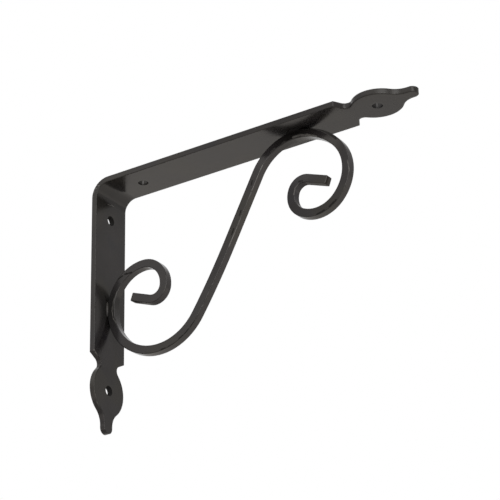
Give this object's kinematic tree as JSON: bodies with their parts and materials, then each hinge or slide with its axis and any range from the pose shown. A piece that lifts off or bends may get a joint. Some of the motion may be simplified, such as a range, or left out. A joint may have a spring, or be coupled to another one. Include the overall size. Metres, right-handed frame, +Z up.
{
  "type": "decorative shelf bracket",
  "caption": "Right-angle steel shelf bracket: a bent flat bar with leaf-shaped ends and a welded S-scroll of square bar, painted satin black.",
  "frame": {"origin": "on the wall face of the upright arm, at mid width, midway between the two wall screw holes", "axes": "+X runs out from the wall along the shelf arm, +Z is up towards the shelf face, Y runs across the bar"},
  "size_m": [0.194, 0.0254, 0.14],
  "materials": {
    "black_paint": "satin black powder coat with a faint orange-peel"
  },
  "bodies": {
    "root": {"angle_bar": "black_paint", "scroll": "black_paint", "wall_weld": "black_paint", "shelf_weld": "black_paint"}
  },
  "joints": []
}
